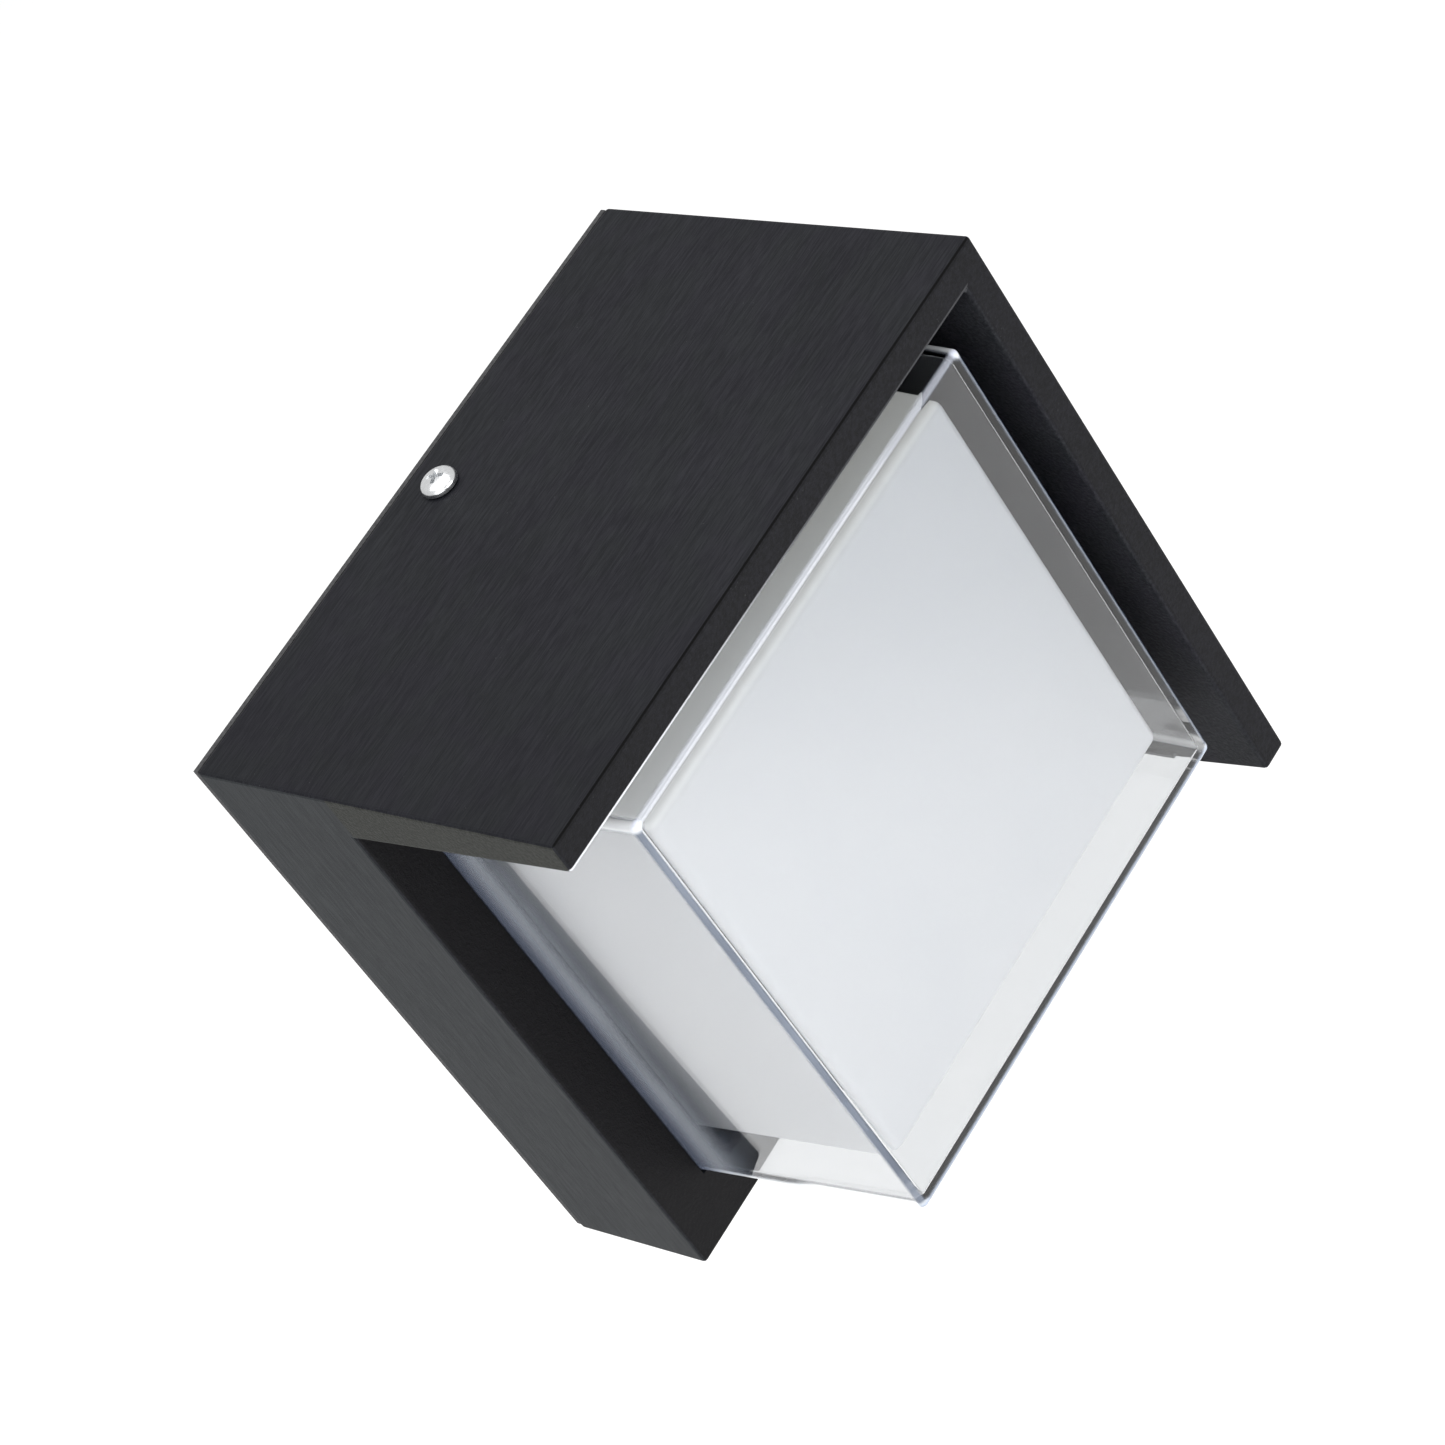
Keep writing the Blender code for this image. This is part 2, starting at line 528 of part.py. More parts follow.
def make_leads(red, black, brown, blue, earth_green):
    start_x = DRIVER_LOW.x + DRIVER_SIZE.x + GAP
    driver_y = FLOOR_Y + 2 * MM + GAP + DRIVER_SIZE.y * 0.6
    board_front = BOARD_Y - BOARD_THICKNESS
    hop = board_front - LEAD_RADIUS - 0.5 * MM
    z = DRIVER_LOW.z + 6 * MM
    for name, side, colour in (("lead_led_positive", 1, red), ("lead_led_negative", -1, black)):
        y = driver_y + side * LEAD_SPACING
        x = LEAD_HOLE.x - side * LEAD_SPACING
        lead(name, [
            (start_x, y, z), (start_x + 5 * MM, y, z), (start_x + 13 * MM, y, z + 9 * MM),
            (start_x + 13 * MM, y, -6 * MM), (start_x + 4 * MM, y, LEAD_HOLE.z - 4 * MM),
            (x + 4 * MM, y - 2 * MM, LEAD_HOLE.z - 0.5 * MM), (x, FLOOR_Y, LEAD_HOLE.z),
            (x, BASE_Y, LEAD_HOLE.z), (x, hop - 1.5 * MM, LEAD_HOLE.z + 1.2 * MM),
            (x - side * MM, hop, LEAD_HOLE.z + 7 * MM),
        ], colour)
    low_y = REAR_PLATE_Y + GAP + TERMINAL_SIZE.y / 2
    mains = (("lead_line", -1, TERMINAL_POLES[0], brown), ("lead_neutral", 1, TERMINAL_POLES[1], blue))
    for name, side, pole, colour in mains:
        offset = side * (LEAD_SPACING - 0.1 * MM)
        z = DRIVER_LOW.z + 26 * MM + offset
        x = GROMMET_AT.x + offset
        lead(name, [
            (DRIVER_LOW.x - GAP, driver_y, z), (DRIVER_LOW.x - 5 * MM, driver_y, z),
            (x - 3 * MM, driver_y + MM, z + 8 * MM), (x, REAR_PLATE_Y - 6 * MM, GROMMET_AT.z - 3 * MM),
            (x, REAR_PLATE_Y - 2 * MM, GROMMET_AT.z), (x, REAR_PLATE_Y + 2 * MM, GROMMET_AT.z),
            (pole, low_y, TERMINAL_LOW.z - 5 * MM), (pole, low_y, TERMINAL_LOW.z + 4 * MM),
        ], colour)
    tag_y = REAR_PLATE_Y + GAP + 0.8 * MM + LEAD_RADIUS + GAP
    pole = TERMINAL_POLES[2]
    lead("lead_earth", [
        (EARTH_AT.x - 6 * MM, tag_y, EARTH_AT.z), (EARTH_AT.x - 12 * MM, tag_y, EARTH_AT.z),
        (20 * MM, tag_y + MM, 17 * MM), (0, tag_y + MM, 14 * MM), (pole + 10 * MM, tag_y + 2 * MM, 14 * MM),
        (pole, low_y, TERMINAL_LOW.z - 5 * MM), (pole, low_y, TERMINAL_LOW.z + 4 * MM),
    ], earth_green)


def make_side_screws(zinc):
    for name, level in (("upper_fixing_screw", 1), ("lower_fixing_screw", -1)):
        seat = (0, SIDE_SCREW_Y, level * (HEIGHT / 2 + GAP))
        screw(name, M4, SIDE_SCREW_LENGTH, seat, (0, 0, level), zinc)


def main():
    clear_scene()
    steel = finish("screw_steel", (0.62, 0.62, 0.60), 0.35, 1.0)
    zinc = finish("bright_zinc", (0.80, 0.81, 0.82), 0.22, 1.0)
    silicone = finish("seal_silicone", (0.55, 0.56, 0.56), 0.6)
    make_housing(finish("housing_paint", (0.030, 0.031, 0.034), 0.55))
    make_light_parts(
        finish("cover_clear", (0.93, 0.95, 0.97), 0.05, alpha=0.25),
        finish("diffuser_opal", (0.90, 0.91, 0.91), 0.45),
        silicone,
        finish("board_white", (0.86, 0.86, 0.84), 0.4),
        finish("led_phosphor", (0.92, 0.80, 0.28), 0.5),
        steel,
    )
    make_bracket(finish("bracket_zinc", (0.66, 0.67, 0.68), 0.38, 1.0))
    make_rear_parts(
        finish("plate_aluminium", (0.70, 0.70, 0.71), 0.4, 1.0), silicone,
        finish("grommet_rubber", (0.03, 0.03, 0.03), 0.8), finish("gasket_foam", (0.06, 0.06, 0.06), 0.95),
        steel, finish("terminal_nylon", (0.85, 0.85, 0.80), 0.5),
    )
    make_driver(finish("driver_case", (0.05, 0.05, 0.055), 0.5), steel)
    make_leads(
        finish("wire_red", (0.55, 0.03, 0.02), 0.45), finish("wire_black", (0.02, 0.02, 0.02), 0.45),
        finish("wire_brown", (0.20, 0.08, 0.03), 0.45), finish("wire_blue", (0.03, 0.10, 0.45), 0.45),
        finish("wire_green", (0.10, 0.35, 0.05), 0.45),
    )
    make_side_screws(zinc)


main()
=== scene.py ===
"""The looks of a square wall lantern: its finishes, the clear cover and opal diffuser, the bright
fixing screws and the studio round it. Everything is in metres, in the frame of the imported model.
"""
import math

import bmesh
import bpy
from mathutils import Matrix, Vector


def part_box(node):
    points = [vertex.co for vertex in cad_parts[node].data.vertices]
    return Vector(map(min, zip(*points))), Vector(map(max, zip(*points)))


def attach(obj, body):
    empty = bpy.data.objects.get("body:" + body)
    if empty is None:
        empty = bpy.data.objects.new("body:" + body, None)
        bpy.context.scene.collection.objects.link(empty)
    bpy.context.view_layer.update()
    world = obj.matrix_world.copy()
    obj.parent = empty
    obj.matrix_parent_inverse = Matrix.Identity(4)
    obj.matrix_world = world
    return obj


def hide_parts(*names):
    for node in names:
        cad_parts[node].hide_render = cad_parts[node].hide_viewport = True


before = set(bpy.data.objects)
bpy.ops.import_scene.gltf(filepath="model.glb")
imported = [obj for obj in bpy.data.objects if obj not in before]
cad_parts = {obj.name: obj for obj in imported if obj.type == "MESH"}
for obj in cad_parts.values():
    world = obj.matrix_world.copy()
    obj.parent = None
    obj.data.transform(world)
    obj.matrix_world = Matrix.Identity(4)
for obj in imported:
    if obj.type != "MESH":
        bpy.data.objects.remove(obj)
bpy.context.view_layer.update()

MM = 0.001

# The two cups. A taper is how much narrower each half of the front is than the rim, in width and
# in height, and FRONT_RISE is how far both fronts sit above the middle of their rims.
COVER_TAPER = (3.25 * MM, 1.75 * MM)
COVER_WALL = 2.0 * MM
COVER_EDGE = 1.3 * MM
OPAL_TAPER = (1.65 * MM, 3.85 * MM)
OPAL_WALL = 1.8 * MM
OPAL_EDGE = 2.2 * MM
FRONT_RISE = 0.9 * MM
LEAST_INNER_EDGE = 0.7 * MM
FOLD_SEGMENTS = 6

# How far the cover's painted edge light and shade reach in from its folds.
EDGE_BAND = 1.6 * MM
FOOT_BAND = 4.4 * MM
FOOT_LINE = 2.2 * MM

COVER_RIB_SIZE = (1.1 * MM, 8.0 * MM, 0.9 * MM)
COVER_RIB_BACK = 10.5 * MM
COVER_RIB_INSET = 8.2 * MM

SCREW_HEAD_HEIGHT = 2.5 * MM
THREAD_PITCH = 0.7 * MM
THREAD_DEPTH = 0.22 * MM
THREAD_START = 0.8 * MM
RECESS_TURN = 0.35
RECESS_FLOOR = 0.7 * MM

# Where the housing's parts begin.
BASE_FRONT_Y = -37.8 * MM
RECESS_DEPTH = 3.0 * MM
CHEEK_OUTER_X = 74.0 * MM
HOOD_LIP_Y = -96.0 * MM

# Noise stays near its middle. These are the value where a grain turns light, and its spread.
GRAIN_LOW = 0.38
GRAIN_SPREAD = 0.26

CAMERA_AZIMUTH = math.radians(-30.48)
CAMERA_ELEVATION = math.radians(38.05)
CAMERA_ROLL = math.radians(-36.22)
CAMERA_DISTANCE = 0.967
CAMERA_AIM = Vector((0.0142, -0.0204, -0.0120))
CAMERA_LENS = 116.68
SENSOR = 36.0


# Shader maths ---------------------------------------------------------------------------------

class Field:
    """A value that changes over a surface: a socket that can be written into an expression."""

    def __init__(self, finish, socket):
        self.finish = finish
        self.socket = socket

    def maths(self, operation, first, second=0.0):
        return self.finish.node("ShaderNodeMath", {"operation": operation}, {0: first, 1: second})

    def __add__(self, other):
        return self.maths("ADD", self, other)

    def __radd__(self, other):
        return self.maths("ADD", other, self)

    def __sub__(self, other):
        return self.maths("SUBTRACT", self, other)

    def __rsub__(self, other):
        return self.maths("SUBTRACT", other, self)

    def __mul__(self, other):
        return self.maths("MULTIPLY", self, other)

    def __rmul__(self, other):
        return self.maths("MULTIPLY", other, self)

    def __truediv__(self, other):
        return self.maths("DIVIDE", self, other)

    def __abs__(self):
        return self.maths("ABSOLUTE", self)

    def __gt__(self, other):
        return self.maths("GREATER_THAN", self, other)

    def __lt__(self, other):
        return self.maths("LESS_THAN", self, other)

    def step(self, low, high):
        """0 below low and 1 above high, with a smooth change between them."""
        settings = {"interpolation_type": "SMOOTHSTEP"}
        values = {"Value": self, "From Min": low, "From Max": high}
        return self.finish.node("ShaderNodeMapRange", settings, values)

    def mostly(self):
        """1 where a part of a direction is nearly all of it."""
        return self.step(0.7, 0.9)


class Finish:
    """One material, built round a Principled shader."""

    def __init__(self, name, **sockets):
        self.material = bpy.data.materials.new(name)
        self.material.use_nodes = True
        self.tree = self.material.node_tree
        self.shader = self.tree.nodes["Principled BSDF"]
        self.place = self.node("ShaderNodeTexCoord", output="Object")
        for socket, value in sockets.items():
            self.set(socket.replace("_", " "), value)

    def set(self, socket, value):
        self.feed(self.shader.inputs[socket], value)

    def feed(self, socket, value):
        if isinstance(value, Field):
            self.tree.links.new(value.socket, socket)
        elif socket.type == "RGBA" and len(value) == 3:
            socket.default_value = (*value, 1.0)
        else:
            socket.default_value = value

    def node(self, kind, settings=None, values=None, output=0):
        made = self.tree.nodes.new(kind)
        for key, value in (settings or {}).items():
            setattr(made, key, value)
        for key, value in (values or {}).items():
            self.feed(made.inputs[key], value)
        return Field(self, made.outputs[output])

    def mix(self, amount, first, second):
        """A colour between two, by amount."""
        return self.node("ShaderNodeMix", {"data_type": "RGBA"}, {0: amount, 6: first, 7: second}, 2)

    def part(self, vector, letter):
        return self.node("ShaderNodeSeparateXYZ", values={0: vector}, output="XYZ".index(letter))

    def stretched(self, x, y, z):
        """The place in millimetres, stretched along each axis."""
        scale = tuple(value / MM for value in (x, y, z))
        return self.node("ShaderNodeVectorMath", {"operation": "MULTIPLY"}, {0: self.place, 1: scale})

    def noise(self, size, detail=3.0, roughness=0.5, stretch=(1, 1, 1)):
        """Soft noise whose features measure about size millimetres, times the stretch."""
        vector = self.stretched(*(1 / (size * s) for s in stretch))
        values = {"Vector": vector, "Scale": 1.0, "Detail": detail, "Roughness": roughness}
        return self.node("ShaderNodeTexNoise", values=values)

    def cells(self, size, output="Distance"):
        values = {"Vector": self.stretched(1 / size, 1 / size, 1 / size), "Scale": 1.0}
        return self.node("ShaderNodeTexVoronoi", {"feature": "F1"}, values, output)

    def cover_with(self, other, amount):
        """Shows another shader in place of the main one, by amount."""
        mixed = self.node("ShaderNodeMixShader", values={
            0: amount, 1: Field(self, self.shader.outputs[0]), 2: other,
        })
        self.tree.links.new(mixed.socket, self.tree.nodes["Material Output"].inputs["Surface"])

    def bump(self, height, depth, strength=1.0, under=None):
        """A normal raised by height, whose full range stands for depth millimetres."""
        values = {"Height": height, "Distance": depth * MM, "Strength": strength}
        if under is not None:
            values["Normal"] = under
        return self.node("ShaderNodeBump", values=values)


# Finishes -------------------------------------------------------------------------------------

def charcoal_paint():
    """Charcoal powder coat: a brushed grain on the long outer faces, orange peel on the rest.

    Its colour also holds painted light and shade: a lighter copy on the sides and the hood's left
    end, a darker copy on the front, painted shade in the recess and on the top front bevel, a painted
    sheen on the grain that dims towards -X, and a painted highlight along the hood's lower lip.
    """
    paint = Finish("charcoal_paint", Specular_IOR_Level=0.15)
    facing = paint.node("ShaderNodeNewGeometry", output="Normal")
    side, ahead, level = (paint.part(facing, letter) for letter in "XYZ")
    across, depth, height = (paint.part(paint.place, letter) for letter in "XYZ")
    outer = ((depth > BASE_FRONT_Y) + (across > CHEEK_OUTER_X)).step(0.2, 0.8)
    base_side = outer * abs(side).mostly()
    top = abs(level).mostly()
    forward = (ahead * -1).mostly()
    recess_shade = forward * (depth > BASE_FRONT_Y - RECESS_DEPTH)
    lit_hood_end = (side * -1).mostly() * (depth < BASE_FRONT_Y) * (across < 0.0)
    brushed = top + base_side
    grain = brushed_grain(paint, (16, 1, 1)) * top + brushed_grain(paint, (1, 1, 16)) * base_side
    pebble = (paint.noise(0.75, 2.0, 0.45) * 0.6 + paint.noise(0.28, 2.0, 0.5) * 0.4) * (1 - brushed)
    cloud = paint.noise(24.0, 4.0, 0.6)
    tone = cloud.step(0.35, 0.65) * 0.15
    tone = tone + (grain - GRAIN_LOW * brushed).step(0.0, GRAIN_SPREAD) * 0.70
    tone = tone + (pebble - GRAIN_LOW * (1 - brushed)).step(0.0, GRAIN_SPREAD) * 0.70
    # Painted sheen: the lighter grain, peel and mottle are dimmed towards -X.
    tone = tone * (0.7 + 0.3 * across.step(-0.075, 0.0))
    hue = paint.noise(13.0, 3.0, 0.6).step(0.38, 0.62)
    purple_black = paint.mix(tone, (0.0024, 0.0024, 0.0050), (0.0145, 0.0146, 0.0190))
    green_black = paint.mix(tone, (0.0024, 0.0030, 0.0046), (0.0143, 0.0153, 0.0184))
    coat = paint.mix(hue, purple_black, green_black)
    # Painted light: the base's side faces get a lighter copy of the coat, as if lit from the side.
    lit_side_coat = paint.mix(tone, (0.006, 0.008, 0.010), (0.025, 0.029, 0.031))
    coat = paint.mix(base_side * 0.8, coat, lit_side_coat)
    # Painted light: only the hood's left end, facing the key light, gets a lighter copy of the coat.
    lit_end_coat = paint.mix(tone, (0.014, 0.015, 0.013), (0.042, 0.043, 0.039))
    coat = paint.mix(lit_hood_end, coat, lit_end_coat)
    # Painted shade: the front faces get a darker, bluer copy of the coat.
    shaded_front_coat = paint.mix(tone, (0.0002, 0.0002, 0.0008), (0.0055, 0.0055, 0.0080))
    coat = paint.mix(forward * 0.95, coat, shaded_front_coat)
    # Painted shade: the base's front face inside the recess is painted almost black.
    coat = paint.mix(recess_shade * 0.9, coat, (0.0006, 0.0004, 0.0010))
    # Painted shade: the bevel between the top and front faces is painted black.
    fold_shade = level.step(0.2, 0.45) * (ahead * -1).step(0.2, 0.45)
    coat = paint.mix(fold_shade * 0.95, coat, (0.0, 0.0, 0.0))
    speck = paint.noise(0.35, 1.0, 0.4).step(0.74, 0.80) * paint.noise(9.0, 2.0, 0.5).step(0.55, 0.7)
    coat = paint.mix(speck * 0.35, coat, (0.16, 0.165, 0.17))
    # Painted highlight: the hood's lower front bevel is painted light grey, strongest towards -X.
    lip_highlight = (level * -1).step(0.08, 0.25) * (ahead * -1).step(0.2, 0.5) * (depth < HOOD_LIP_Y)
    bright = 0.06 + 0.94 * (across * -1).step(-0.02, 0.06)
    coat = paint.mix(lip_highlight * (height > 0.0) * bright, coat, (0.52, 0.53, 0.56))
    paint.set("Base Color", coat)
    paint.set("Roughness", 0.58 + 0.10 * cloud - 0.14 * grain + 0.06 * pebble + 0.3 * fold_shade)
    relief = paint.bump(grain, 0.06, 0.8)
    paint.set("Normal", paint.bump(pebble, 0.28, 1.0, under=relief))
    return paint.material


def brushed_grain(finish, stretch):
    """Short fine scratches, drawn out along one axis."""
    long_stretch = tuple(max(1, 2.5 * s) if s > 1 else 1 for s in stretch)
    fine = finish.noise(0.26, 4.0, 0.65, stretch=stretch)
    return fine * 0.7 + finish.noise(0.55, 2.0, 0.5, stretch=long_stretch) * 0.3


def clear_plastic():
    """Clear glossy plastic.

    Over it lies painted light and shade: painted blue-grey shade and reflection along its folds,
    a painted highlight on the top front edge, painted shade near the glued rim that darkens towards
    it, and a painted glow along the lower edges of its side walls.
    """
    clear = Finish("clear_plastic", IOR=1.49)
    clear.set("Transmission Weight", 1.0)
    haze = clear.noise(22.0, 2.0, 0.5)
    clear.set("Base Color", clear.mix(haze, (0.785, 0.797, 0.808), (0.810, 0.817, 0.823)))
    clear.set("Roughness", 0.012 + 0.02 * haze)
    clear.set("Normal", clear.bump(clear.noise(38.0, 1.0, 0.4), 0.06, 0.25))
    forward, off_side, off_level, off_front = cover_gaps(clear)
    side, level, front = (near(gap, EDGE_BAND) for gap in (off_side, off_level, off_front))
    wide_band = 1.6 * EDGE_BAND
    along = near(off_side, wide_band) * near(off_level, wide_band)
    above = clear.part(clear.place, "Z") > 0.0
    below = 1 - above
    # Painted glow: the lower side corners are painted near white and made to shine, though the cover
    # is no lamp.
    foot_glow = side * near(off_level, FOOT_BAND) * below * (1 - front) * (1 - forward.step(0.42, 0.60))
    # Painted shade: a blue-grey line along the bottom front edge.
    foot_line_shade = front * near(off_level, FOOT_LINE) * below
    uneven = clear.noise(18.0, 1.0, 0.4)
    # Painted shade and reflection: the folds are painted dark blue-grey, and light grey where the
    # long corners run front to back.
    colour = clear.mix(uneven, (0.055, 0.072, 0.110), (0.170, 0.200, 0.255))
    colour = clear.mix(along, colour, (0.60, 0.62, 0.64))
    colour = clear.mix(foot_glow, colour, (0.80, 0.81, 0.82))
    # Painted highlight: a light lavender line along the top front edge.
    colour = clear.mix(front * level * above, colour, (0.56, 0.59, 0.68))
    colour = clear.mix(foot_line_shade, colour, (0.34, 0.39, 0.48))
    # Painted shade: near the glued rim the walls turn an opaque blue-grey that darkens towards the
    # rim.
    rim = forward.step(0.68, 0.93)
    rim_shade_colour = clear.mix(forward.step(0.84, 0.98), (0.46, 0.49, 0.54), (0.115, 0.135, 0.190))
    colour = clear.mix(rim, colour, rim_shade_colour)
    # How much of the painted edge light and shade covers the clear plastic.
    folds = front * side * 0.75 + along * 0.8 + front * level * above * 0.35
    folds = folds + foot_line_shade * 0.65 + foot_glow * 0.85
    amount = folds + rim * (0.46 + 0.1 * uneven)
    # All the painted light and shade above, laid over the clear plastic by amount.
    painted_light_shader = clear.node("ShaderNodeBsdfPrincipled", values={
        "Base Color": colour, "Roughness": 0.10 + 0.08 * haze, "Specular IOR Level": 0.8,
        "Emission Color": clear.mix(foot_glow, (0.0, 0.0, 0.0), (0.26, 0.26, 0.26)),
        "Emission Strength": 1.0,
    })
    clear.cover_with(painted_light_shader, amount.maths("MINIMUM", amount, 0.85))
    return clear.material


def near(gap, band):
    """1 where a gap is small and 0 past the band."""
    return 1 - gap.step(0.45 * band, band)


def cover_gaps(finish):
    """How far back a point of the cover is, from 0 to 1, and its way in from each pair of faces."""
    low, high = (Vector(corner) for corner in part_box("clear_cover"))
    middle, half = (low + high) / 2, (high - low) / 2
    forward = (finish.part(finish.place, "Y") - low.y) / (high.y - low.y)
    narrowing = 1 - forward
    off_side = half.x - COVER_TAPER[0] * narrowing - abs(finish.part(finish.place, "X") - middle.x)
    centre_z = middle.z + FRONT_RISE * narrowing
    off_level = half.z - COVER_TAPER[1] * narrowing - abs(finish.part(finish.place, "Z") - centre_z)
    return forward, off_side, off_level, forward * (high.y - low.y)


def opal_plastic():
    """Opal plastic. A painted glow on its upper faces keeps them from looking dark under the hood,
    and painted shade greys it towards the upper right.
    """
    opal = Finish("opal_plastic", IOR=1.49, Emission_Strength=1.0)
    drift = opal.noise(60.0, 2.0, 0.5)
    across, level = opal.part(opal.place, "X"), opal.part(opal.place, "Z")
    white = opal.mix(drift, (0.862, 0.876, 0.902), (0.898, 0.905, 0.925))
    # Painted shade: the white turns grey towards the upper right, under the hood.
    opal.set("Base Color", opal.mix((across + level).step(-0.03, 0.10), white, (0.645, 0.668, 0.698)))
    opal.set("Roughness", 0.38 + 0.10 * opal.noise(6.0, 3.0, 0.5))
    opal.set("Normal", opal.bump(opal.noise(0.6, 2.0, 0.5), 0.02, 0.3))
    # Painted glow: the upper faces are made to shine a little, less towards +X.
    upper = opal.part(opal.node("ShaderNodeNewGeometry", output="Normal"), "Z").step(0.4, 0.8)
    painted_top_glow = opal.mix(across.step(-0.05, 0.05), (0.30, 0.305, 0.295), (0.235, 0.235, 0.215))
    opal.set("Emission Color", opal.mix(upper, (0.0, 0.0, 0.0), painted_top_glow))
    return opal.material


def bright_zinc():
    """Bright zinc with small dull spots."""
    zinc = Finish("bright_zinc", Metallic=1.0)
    spots = zinc.noise(0.9, 3.0, 0.6)
    zinc.set("Base Color", zinc.mix(spots, (0.66, 0.67, 0.68), (0.90, 0.91, 0.92)))
    zinc.set("Roughness", 0.14 + 0.22 * spots)
    zinc.set("Normal", zinc.bump(zinc.noise(0.25, 2.0, 0.5), 0.02, 0.5))
    return zinc.material


def plated_steel():
    steel = Finish("plated_steel", Metallic=1.0)
    spots = steel.noise(0.7, 3.0, 0.6)
    steel.set("Base Color", steel.mix(spots, (0.50, 0.50, 0.49), (0.70, 0.70, 0.68)))
    steel.set("Roughness", 0.25 + 0.2 * spots)
    steel.set("Normal", steel.bump(steel.noise(0.3, 2.0, 0.5), 0.02, 0.4))
    return steel.material


def galvanised_sheet():
    """Galvanised steel: dull crystal spangles a few millimetres across."""
    sheet = Finish("galvanised_sheet", Metallic=1.0)
    crystal = sheet.part(sheet.cells(4.5, output="Color"), "X")
    fleck = sheet.noise(0.8, 3.0, 0.6)
    sheet.set("Base Color", sheet.mix(crystal, (0.50, 0.51, 0.53), (0.68, 0.69, 0.70)))
    sheet.set("Roughness", 0.30 + 0.22 * crystal + 0.1 * fleck)
    sheet.set("Normal", sheet.bump(fleck, 0.02, 0.4))
    return sheet.material


def mill_aluminium():
    metal = Finish("mill_aluminium", Metallic=1.0)
    rolled = metal.noise(0.3, 3.0, 0.6, stretch=(1, 1, 60))
    metal.set("Base Color", metal.mix(rolled, (0.60, 0.61, 0.62), (0.78, 0.78, 0.79)))
    metal.set("Roughness", 0.30 + 0.18 * rolled)
    metal.set("Normal", metal.bump(rolled, 0.015, 0.5))
    return metal.material


def tinned_metal():
    metal = Finish("tinned_metal", Metallic=1.0)
    dull = metal.noise(1.2, 3.0, 0.6)
    metal.set("Base Color", metal.mix(dull, (0.60, 0.60, 0.58), (0.78, 0.78, 0.75)))
    metal.set("Roughness", 0.22 + 0.25 * dull)
    return metal.material


def moulded(name, dark, light, roughness, grain=0.35, depth=0.03):
    """A moulded plastic or rubber with a fine spark-eroded texture."""
    plastic = Finish(name)
    cloud = plastic.noise(5.0, 3.0, 0.6)
    texture = plastic.noise(grain, 2.0, 0.5)
    plastic.set("Base Color", plastic.mix(cloud, dark, light))
    plastic.set("Roughness", roughness - 0.06 + 0.14 * texture)
    plastic.set("Normal", plastic.bump(texture, depth, 0.6))
    return plastic.material


def closed_cell_foam():
    foam = Finish("closed_cell_foam")
    cell = foam.cells(0.7)
    foam.set("Base Color", foam.mix(cell, (0.018, 0.018, 0.019), (0.060, 0.060, 0.062)))
    foam.set("Roughness", 0.85 + 0.1 * cell)
    foam.set("Normal", foam.bump(cell, 0.25, 0.8))
    return foam.material


def solder_mask():
    """White solder mask over copper, whose tracks stand up a little."""
    mask = Finish("solder_mask")
    tracks = mask.node("ShaderNodeTexBrick", {"offset": 0.0}, {
        "Vector": mask.node("ShaderNodeCombineXYZ", values={
            0: mask.part(mask.place, "X") / MM, 1: mask.part(mask.place, "Z") / MM,
        }),
        "Scale": 1.0, "Brick Width": 26.0, "Row Height": 13.0, "Mortar Size": 0.5,
        "Color1": (0.0, 0.0, 0.0), "Color2": (0.0, 0.0, 0.0), "Mortar": (1.0, 1.0, 1.0),
    }, 1)
    mask.set("Base Color", mask.mix(tracks, (0.83, 0.83, 0.81), (0.72, 0.74, 0.70)))
    mask.set("Roughness", 0.32 + 0.12 * mask.noise(1.0, 2.0, 0.5))
    mask.set("Normal", mask.bump(1 - tracks, 0.04, 0.6))
    return mask.material


def phosphor():
    glow = Finish("phosphor")
    powder = glow.noise(0.25, 3.0, 0.6)
    glow.set("Base Color", glow.mix(powder, (0.80, 0.62, 0.10), (0.93, 0.80, 0.25)))
    glow.set("Roughness", 0.42 + 0.15 * powder)
    glow.set("Normal", glow.bump(powder, 0.03, 0.5))
    return glow.material


def wire_cover(name, colour):
    dark = tuple(0.7 * c for c in colour)
    return moulded(name, dark, colour, 0.38, grain=0.5, depth=0.015)


# Pieces ---------------------------------------------------------------------------------------

def make_piece(name, shape, body, material, slot, *replaced):
    """A finished mesh that rides on a body and stands for CAD nodes."""
    mesh = bpy.data.meshes.new(name)
    shape.to_mesh(mesh)
    shape.free()
    mesh.materials.append(material)
    made = bpy.data.objects.new(name, mesh)
    bpy.context.scene.collection.objects.link(made)
    smooth(mesh)
    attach(made, body)
    if replaced:
        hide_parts(*replaced)
    return made


def smooth(mesh, sharp=35):
    mesh.shade_smooth()
    mesh.set_sharp_from_angle(angle=math.radians(sharp))


